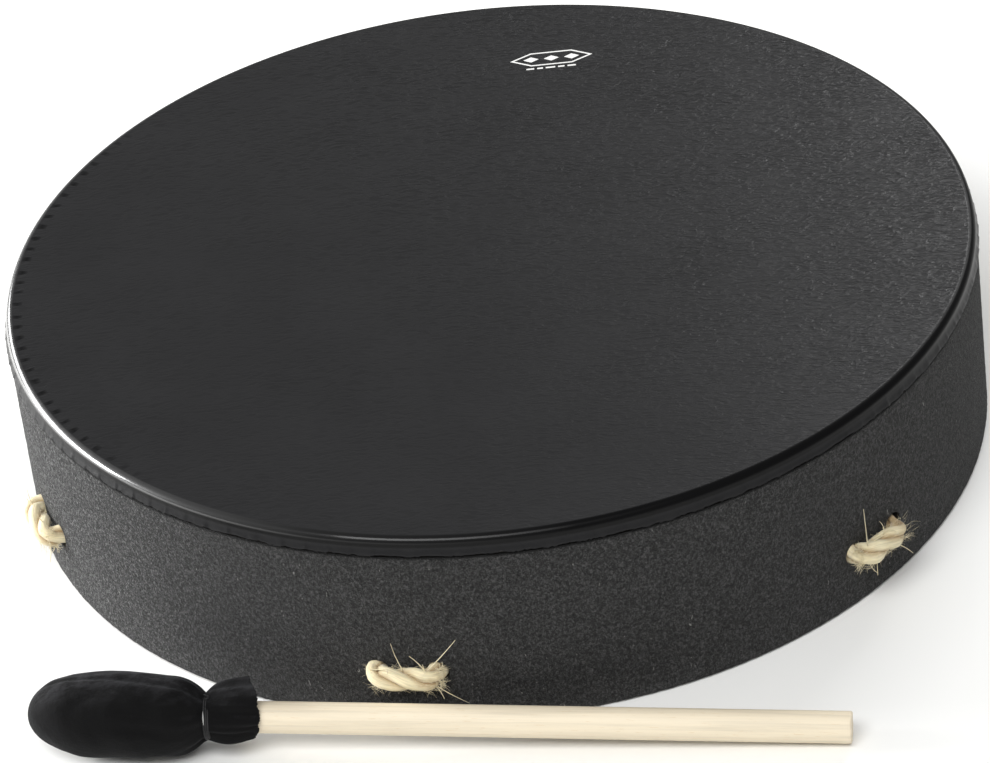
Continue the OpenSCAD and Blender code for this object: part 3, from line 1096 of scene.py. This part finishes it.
class DRUM_OT_dowel(bpy.types.Operator):
    """Dowel: turned hardwood with a softly broken edge and a sawn end"""
    bl_idname = "drum.dowel"
    bl_label = "Beater dowel"

    def execute(self, context):
        b = beater()
        start = 16 * MM
        deselect()
        bpy.ops.mesh.primitive_cylinder_add(
            vertices=56, radius=b.dowel / 2, depth=b.length - start, location=(0, 0, (b.length + start) / 2))
        dowel = bpy.context.object
        apply_place()
        mode("EDIT")
        for i in range(1, 60):
            bpy.ops.mesh.select_all(action="SELECT")
            bpy.ops.mesh.bisect(plane_co=(0, 0, start + (b.length - start) * i / 60), plane_no=(0, 0, 1))
        select_only(dowel, lambda p: p.z > b.length - 1e-5 or p.z < start + 1e-5, "EDGE")
        bpy.ops.mesh.bevel(offset=0.9 * MM, segments=4, profile=0.6)
        select_only(dowel, lambda p: p.z > b.length - 1e-5, "FACE")
        for _ in range(4):
            bpy.ops.mesh.inset(thickness=1.1 * MM)
        mode("OBJECT")
        co = points_of(dowel)
        for i, (x, y, z) in enumerate(co):
            wave = noise.noise(Vector((x, y, z * 0.08)) * 220)
            near_end = hump(z, b.length, 1.5 * MM)
            k = 1 + 0.006 * wave - 0.035 * near_end * max(0.0, noise.noise(Vector((x, y, 1.0)) * 260))
            lift = 0.35 * MM * near_end * noise.noise(Vector((x, y, 5.0)) * 300)
            co[i] = (x * k, y * k, z - abs(lift))
        set_points(dowel, co)
        smooth(dowel, 35)
        lay_down(dowel)
        finish_piece(dowel, "dowel", "beater", "dowel", sanded_hardwood(), "beater_stick")
        return {"FINISHED"}


class DRUM_OT_pad(bpy.types.Operator):
    """Padded end: a suede cover stretched over felt, drawn in folds towards the tied neck"""
    bl_idname = "drum.pad"
    bl_label = "Beater pad"

    def execute(self, context):
        b = beater()
        stations = [BELLY * (1 - math.cos(math.radians(90 * i / 14))) for i in range(1, 15)]
        stations += [BELLY + (b.neck - BELLY) * math.sin(math.radians(90 * i / 16)) for i in range(1, 17)]
        outline = [(0.985 * pad_radius(z), z) for z in stations] + [(8.6 * MM, b.neck + 2 * MM)]
        pad = rings(outline, 72, "pad_suede")
        close_ring(pad, outline[0][1], outline[0][0])
        close_ring(pad, outline[-1][1], outline[-1][0])
        outwards(pad)
        apply_modifier(pad, "REMESH", mode="VOXEL", voxel_size=1.3 * MM)
        self.swell(pad)
        apply_modifier(pad, "SUBSURF", levels=1, render_levels=1)
        self.gather(pad)
        smooth(pad, 80)
        lay_down(pad)
        finish_piece(pad, "pad_suede", "beater", "suede", brushed_suede(), "beater_cover")
        return {"FINISHED"}

    def swell(self, pad):
        """Lets the cover swell over its filling, held at the neck, and keeps the move small."""
        rest = points_of(pad)
        held = pad.vertex_groups.new(name="tied")
        held.add([int(i) for i in np.nonzero(rest[:, 2] > beater().neck - 4 * MM)[0]], 1.0, "REPLACE")
        activate(pad)
        cloth = pad.modifiers.new("Cloth", "CLOTH")
        cloth.settings.use_pressure = True
        cloth.settings.uniform_pressure_force = 4.0
        cloth.settings.effector_weights.gravity = 0.0
        cloth.settings.vertex_group_mass = held.name
        cloth.settings.tension_stiffness = 15
        cloth.settings.bending_stiffness = 0.4
        cloth.settings.quality = 5
        cloth.point_cache.frame_start, cloth.point_cache.frame_end = 1, 20
        for f in range(1, 21):
            bpy.context.scene.frame_set(f)
        bpy.ops.object.modifier_apply(modifier=cloth.name)
        bpy.context.scene.frame_set(1)
        moved = points_of(pad) - rest
        far = np.linalg.norm(moved, axis=1, keepdims=True)
        set_points(pad, rest + moved * np.minimum(1.0, 0.5 * MM / np.maximum(far, 1e-9)))

    def gather(self, pad):
        """Draws folds in towards the neck, presses a few lengthwise creases and leaves a shallow seam."""
        b = beater()
        full = b.pad / 2
        rng = random.Random(12)
        creases = [(rng.uniform(0, 2 * math.pi), rng.uniform(44, 60) * MM, rng.uniform(5, 12) * MM,
                    rng.uniform(0.05, 0.1), rng.uniform(0.3, 0.8) * MM) for _ in range(26)]
        co = points_of(pad)
        for i, (x, y, z) in enumerate(co):
            r = math.hypot(x, y)
            if r < 0.5 * MM:
                continue
            a = math.atan2(y, x)
            near_neck = clamped((z - FOLD_START) / (b.neck - FOLD_START)) ** 1.3
            folds = (math.sin(9 * a + 0.6) + 0.6 * math.sin(14 * a + 2.1 + 40 * z)
                     + 0.4 * math.sin(5 * a - 1.0))
            spot = Vector((x, y, z))
            soft = noise.noise(spot * 60) * 0.8 * MM + noise.noise(spot * 160) * 0.3 * MM
            seam = hump(math.sin((a - 2.9 - 6 * z) / 2), 0, 0.04) * min(1.0, z / (12 * MM))
            press = 0.0
            for angle, middle, length, wide, deep in creases:
                off = math.sin((a - angle - 4 * (z - middle)) / 2) / wide
                if abs(off) < 3:
                    press += deep * math.exp(-off * off - ((z - middle) / length) ** 2)
            move = near_neck * folds * 0.5 * MM - 0.5 * MM * seam - press + soft * (1 - 0.7 * near_neck)
            move = min(move, full * 1.004 - r)
            co[i] = (x * (r + move) / r, y * (r + move) / r, z)
        set_points(pad, co)


class DRUM_OT_skirt(bpy.types.Operator):
    """Skirt of the cover: loose suede past the tie, gathered in folds, with a pinked edge"""
    bl_idname = "drum.skirt"
    bl_label = "Beater skirt"

    def execute(self, context):
        b = beater()
        rows = 26
        outline = [(9 * MM, b.neck + (-2.5 + i) * MM) for i in range(rows + 1)]
        skirt = rings(outline, 240, "skirt_suede")
        co = points_of(skirt)
        for i, (x, y, z) in enumerate(co):
            a = math.atan2(y, x)
            co[i] = self.drape(a, (z - b.neck) / (23.5 * MM), i % 240)
        set_points(skirt, co)
        outwards(skirt)
        apply_modifier(skirt, "SOLIDIFY", thickness=1.1 * MM, offset=-1.0)
        smooth(skirt, 60)
        lay_down(skirt)
        finish_piece(skirt, "skirt_suede", "beater", "suede", brushed_suede())
        return {"FINISHED"}

    def drape(self, a, t, column):
        """A point of the skirt at angle a round the dowel and t of the way from the neck to its edge:
        it stands off on the upper side, hugs the dowel on the near side and hangs in a corner below."""
        b = beater()
        t = max(t, -0.08)
        up, near, low, far, side = (
            max(0.0, math.cos(a - math.radians(facing))) ** power
            for facing, power in ((146, 2), (236, 2), (322, 3), (56, 2), (288, 8)))
        corner = hump(math.degrees(a) % 360, 181, 22)
        length = (17.0 * up + 23.2 * near + 17.0 * low + 13.0 * far + 3.5 * side + 2.4 * corner) * MM
        edge = (16.0 * up + 8.2 * near + 8.2 * low + 11.0 * far) * MM
        s = max(0.0, t)
        rise = 1 - (1 - min(1.0, s * 2.2)) ** 2
        belly = (1.6 * near + 2.2 * low) * MM * math.sin(math.pi * min(1.0, s)) ** 1.2
        r = SKIRT_RADIUS + (edge - SKIRT_RADIUS) * (0.45 * rise + 0.55 * s) + belly
        fold = (math.sin(7 * a + 0.8 + 2 * s) + 0.6 * math.sin(12 * a + 2.0 - 1.5 * s)
                + 0.35 * math.sin(19 * a))
        r += fold * (0.35 + 0.12 * s) * MM * min(1.0, 5 * s)
        z = b.neck + t * length
        if t > 0.97:
            z += 0.14 * MM * (1 if column % 5 < 2 else -1)
            z += 0.5 * MM * noise.noise(Vector((3 * a, 1.0, 2.0)))
        r = max(r, b.dowel / 2 + 1.5 * MM)
        return around(r, a, z)


class DRUM_OT_tie(bpy.types.Operator):
    """Tie: three tight turns of waxed thread round the neck, with a knot and a short end painted pale as a
    painted glint
    """
    bl_idname = "drum.tie"
    bl_label = "Beater tie"

    def execute(self, context):
        b = beater()
        tubes = Tubes()
        turns, steps = 3, 56
        coil = [around(COIL_RADIUS, 2 * math.pi * i / steps, b.neck + 0.5 * MM + COIL_PITCH * i / steps)
                for i in range(turns * steps + 1)]
        tubes.sweep(coil, THREAD_RADIUS, 10)
        knot = Vector((-9.6 * MM, 0, b.neck + 1.6 * MM))
        bow = [knot + Vector((0.5 * MM * math.cos(t), 1.1 * MM * math.sin(t), 1.1 * MM * math.sin(2 * t)))
               for t in [2 * math.pi * i / 24 for i in range(24)]]
        tubes.sweep(resample(bow, 0.4 * MM), THREAD_RADIUS, 8)
        # the short end, painted pale as a painted glint
        end = [around(9.85 * MM, math.radians(t), b.neck + (0.9 + 0.01 * (t - 220)) * MM)
               for t in range(220, 255, 3)]
        tubes.sweep(end, [0.75 * THREAD_RADIUS * math.sin(math.pi * (i + 0.6) / 13) for i in range(12)], 8, 1.0)
        tie = tubes.build("tie_thread")
        lay_down(tie)
        finish_piece(tie, "tie_thread", "beater", "tie_thread", waxed_thread(), "beater_tie")
        return {"FINISHED"}


# ---- Studio ----


WORLD_STRENGTH = 0.31
LENS, CAMERA_DISTANCE = 182.9, 2.016
CAMERA_ELEVATION, CAMERA_ROLL = 34.05, -7.34
# Soft boxes: name, place, size and power in watts
SOFT_BOXES = [
    ("rim_back_left", (-1.32, 1.19, 0.7), (1.1, 0.6), 13),
    ("side_left", (-1.5, 0.4, 0.4), (0.8, 0.5), 34),
    ("top_front", (-0.3, -1.3, 1.8), (1.8, 1.0), 36),
    ("back_right", (1.1, 2.2, 1.65), (1.1, 0.75), 33),
]


class DRUM_OT_stage(bpy.types.Operator):
    """Stage: a pale floor, soft studio light and the camera"""
    bl_idname = "drum.stage"
    bl_label = "Stage"

    def execute(self, context):
        deselect()
        bpy.ops.mesh.primitive_plane_add(size=14, location=(0, 0, -0.2 * MM))
        floor = bpy.context.object
        floor.name = "floor"
        floor.data.materials.append(matt_paper())
        self.world()
        for box in SOFT_BOXES:
            self.soft_box(*box)
        self.camera()
        bpy.context.scene.view_settings.view_transform = "Standard"
        return {"FINISHED"}

    def world(self):
        world = bpy.data.worlds.new("studio")
        world.use_nodes = True
        background = world.node_tree.nodes["Background"]
        background.inputs["Color"].default_value = (1, 1, 1, 1)
        background.inputs["Strength"].default_value = WORLD_STRENGTH
        bpy.context.scene.world = world

    def soft_box(self, name, place_at, size, watts):
        light = bpy.data.lights.new(name, "AREA")
        light.shape = "RECTANGLE"
        light.size, light.size_y = size
        light.energy = watts
        obj = bpy.data.objects.new(name, light)
        obj.location = place_at
        obj.rotation_euler = (Vector((0, 0, 0.05)) - Vector(place_at)).to_track_quat("-Z", "Y").to_euler()
        bpy.context.scene.collection.objects.link(obj)

    def camera(self):
        lens = bpy.data.cameras.new("camera")
        lens.sensor_width = 36
        lens.lens = LENS
        eye = bpy.data.objects.new("camera", lens)
        elevation, roll = math.radians(CAMERA_ELEVATION), math.radians(CAMERA_ROLL)
        target = Vector((-3.9 * MM, -97.9 * MM, sizes().top))
        forward = Vector((0, math.cos(elevation), -math.sin(elevation)))
        right = Vector((1, 0, 0))
        up = right.cross(forward)
        turned = math.cos(roll) * right + math.sin(roll) * up
        risen = math.cos(roll) * up - math.sin(roll) * right
        eye.matrix_world = Matrix.Translation(target - forward * CAMERA_DISTANCE) @ Matrix(
            (turned, risen, -forward)).transposed().to_4x4()
        bpy.context.scene.collection.objects.link(eye)
        bpy.context.scene.camera = eye


class DRUM_PT_panel(bpy.types.Panel):
    """Sidebar panel that lists the drum's steps and sizes"""
    bl_idname = "DRUM_PT_panel"
    bl_label = "Frame drum"
    bl_space_type = "VIEW_3D"
    bl_region_type = "UI"
    bl_category = "Drum"

    def draw(self, context):
        scene = context.scene
        for group in (scene.drum_sizes, scene.handle_sizes, scene.beater_sizes, scene.drum_finishes):
            box = self.layout.box()
            for name in group.__annotations__:
                box.prop(group, name)
        for step in STEPS:
            self.layout.operator(step.bl_idname)


STEPS = [DRUM_OT_stage, DRUM_OT_shell, DRUM_OT_head_film, DRUM_OT_head_mark, DRUM_OT_fleece, DRUM_OT_ropes,
         DRUM_OT_grip, DRUM_OT_dowel, DRUM_OT_pad, DRUM_OT_skirt, DRUM_OT_tie]
GROUPS = {"drum_sizes": DrumSizes, "handle_sizes": HandleSizes, "beater_sizes": BeaterSizes,
          "drum_finishes": Finishes}


def register():
    for group in GROUPS.values():
        bpy.utils.register_class(group)
    for cls in [*STEPS, DRUM_PT_panel]:
        bpy.utils.register_class(cls)
    for name, group in GROUPS.items():
        setattr(bpy.types.Scene, name, PointerProperty(type=group))


def unregister():
    for name in GROUPS:
        delattr(bpy.types.Scene, name)
    for cls in [DRUM_PT_panel, *reversed(STEPS), *reversed(GROUPS.values())]:
        bpy.utils.unregister_class(cls)


def main():
    register()
    for step in STEPS:
        family, name = step.bl_idname.split(".")
        getattr(getattr(bpy.ops, family), name)()


if __name__ == "__main__":
    main()
